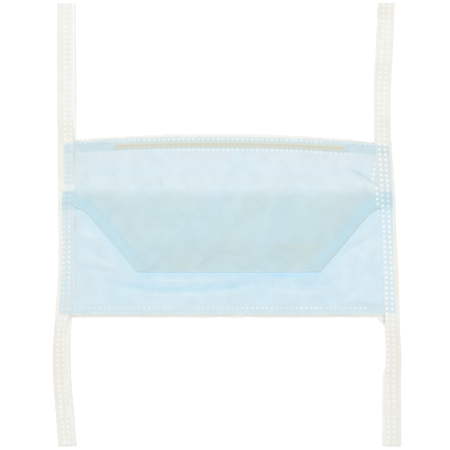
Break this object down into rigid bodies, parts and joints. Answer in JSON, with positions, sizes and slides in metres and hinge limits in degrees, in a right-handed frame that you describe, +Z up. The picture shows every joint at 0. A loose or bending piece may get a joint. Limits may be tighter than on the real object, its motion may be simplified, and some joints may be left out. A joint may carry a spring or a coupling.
{
  "type": "surgical face mask",
  "caption": "Tie-on surgical face mask laid flat, with a Z-folded trapezoid pouch, a nose wire, lining edges and folded side strips that run on as ties.",
  "frame": {"origin": "on the surface that the mask lies on, under the middle of the whole mask with its ties", "axes": "+X to the right across the mask and +Y towards its top edge, both as seen from its outer face, and +Z up, out of that face"},
  "size_m": [0.18, 0.229, 0.0062],
  "materials": {
    "shell_fabric": "matte pale blue spunbonded nonwoven",
    "lining_fabric": "matte white spunbonded nonwoven",
    "tie_fabric": "matte off-white nonwoven strip with rows of weld dots",
    "wire_plastic": "satin plastic-covered wire"
  },
  "bodies": {
    "root": {"outer_shell": "shell_fabric", "top_lining_edge": "lining_fabric", "bottom_lining_edge": "lining_fabric", "nose_wire": "wire_plastic", "tie_left": "tie_fabric", "tie_right": "tie_fabric"}
  },
  "joints": []
}
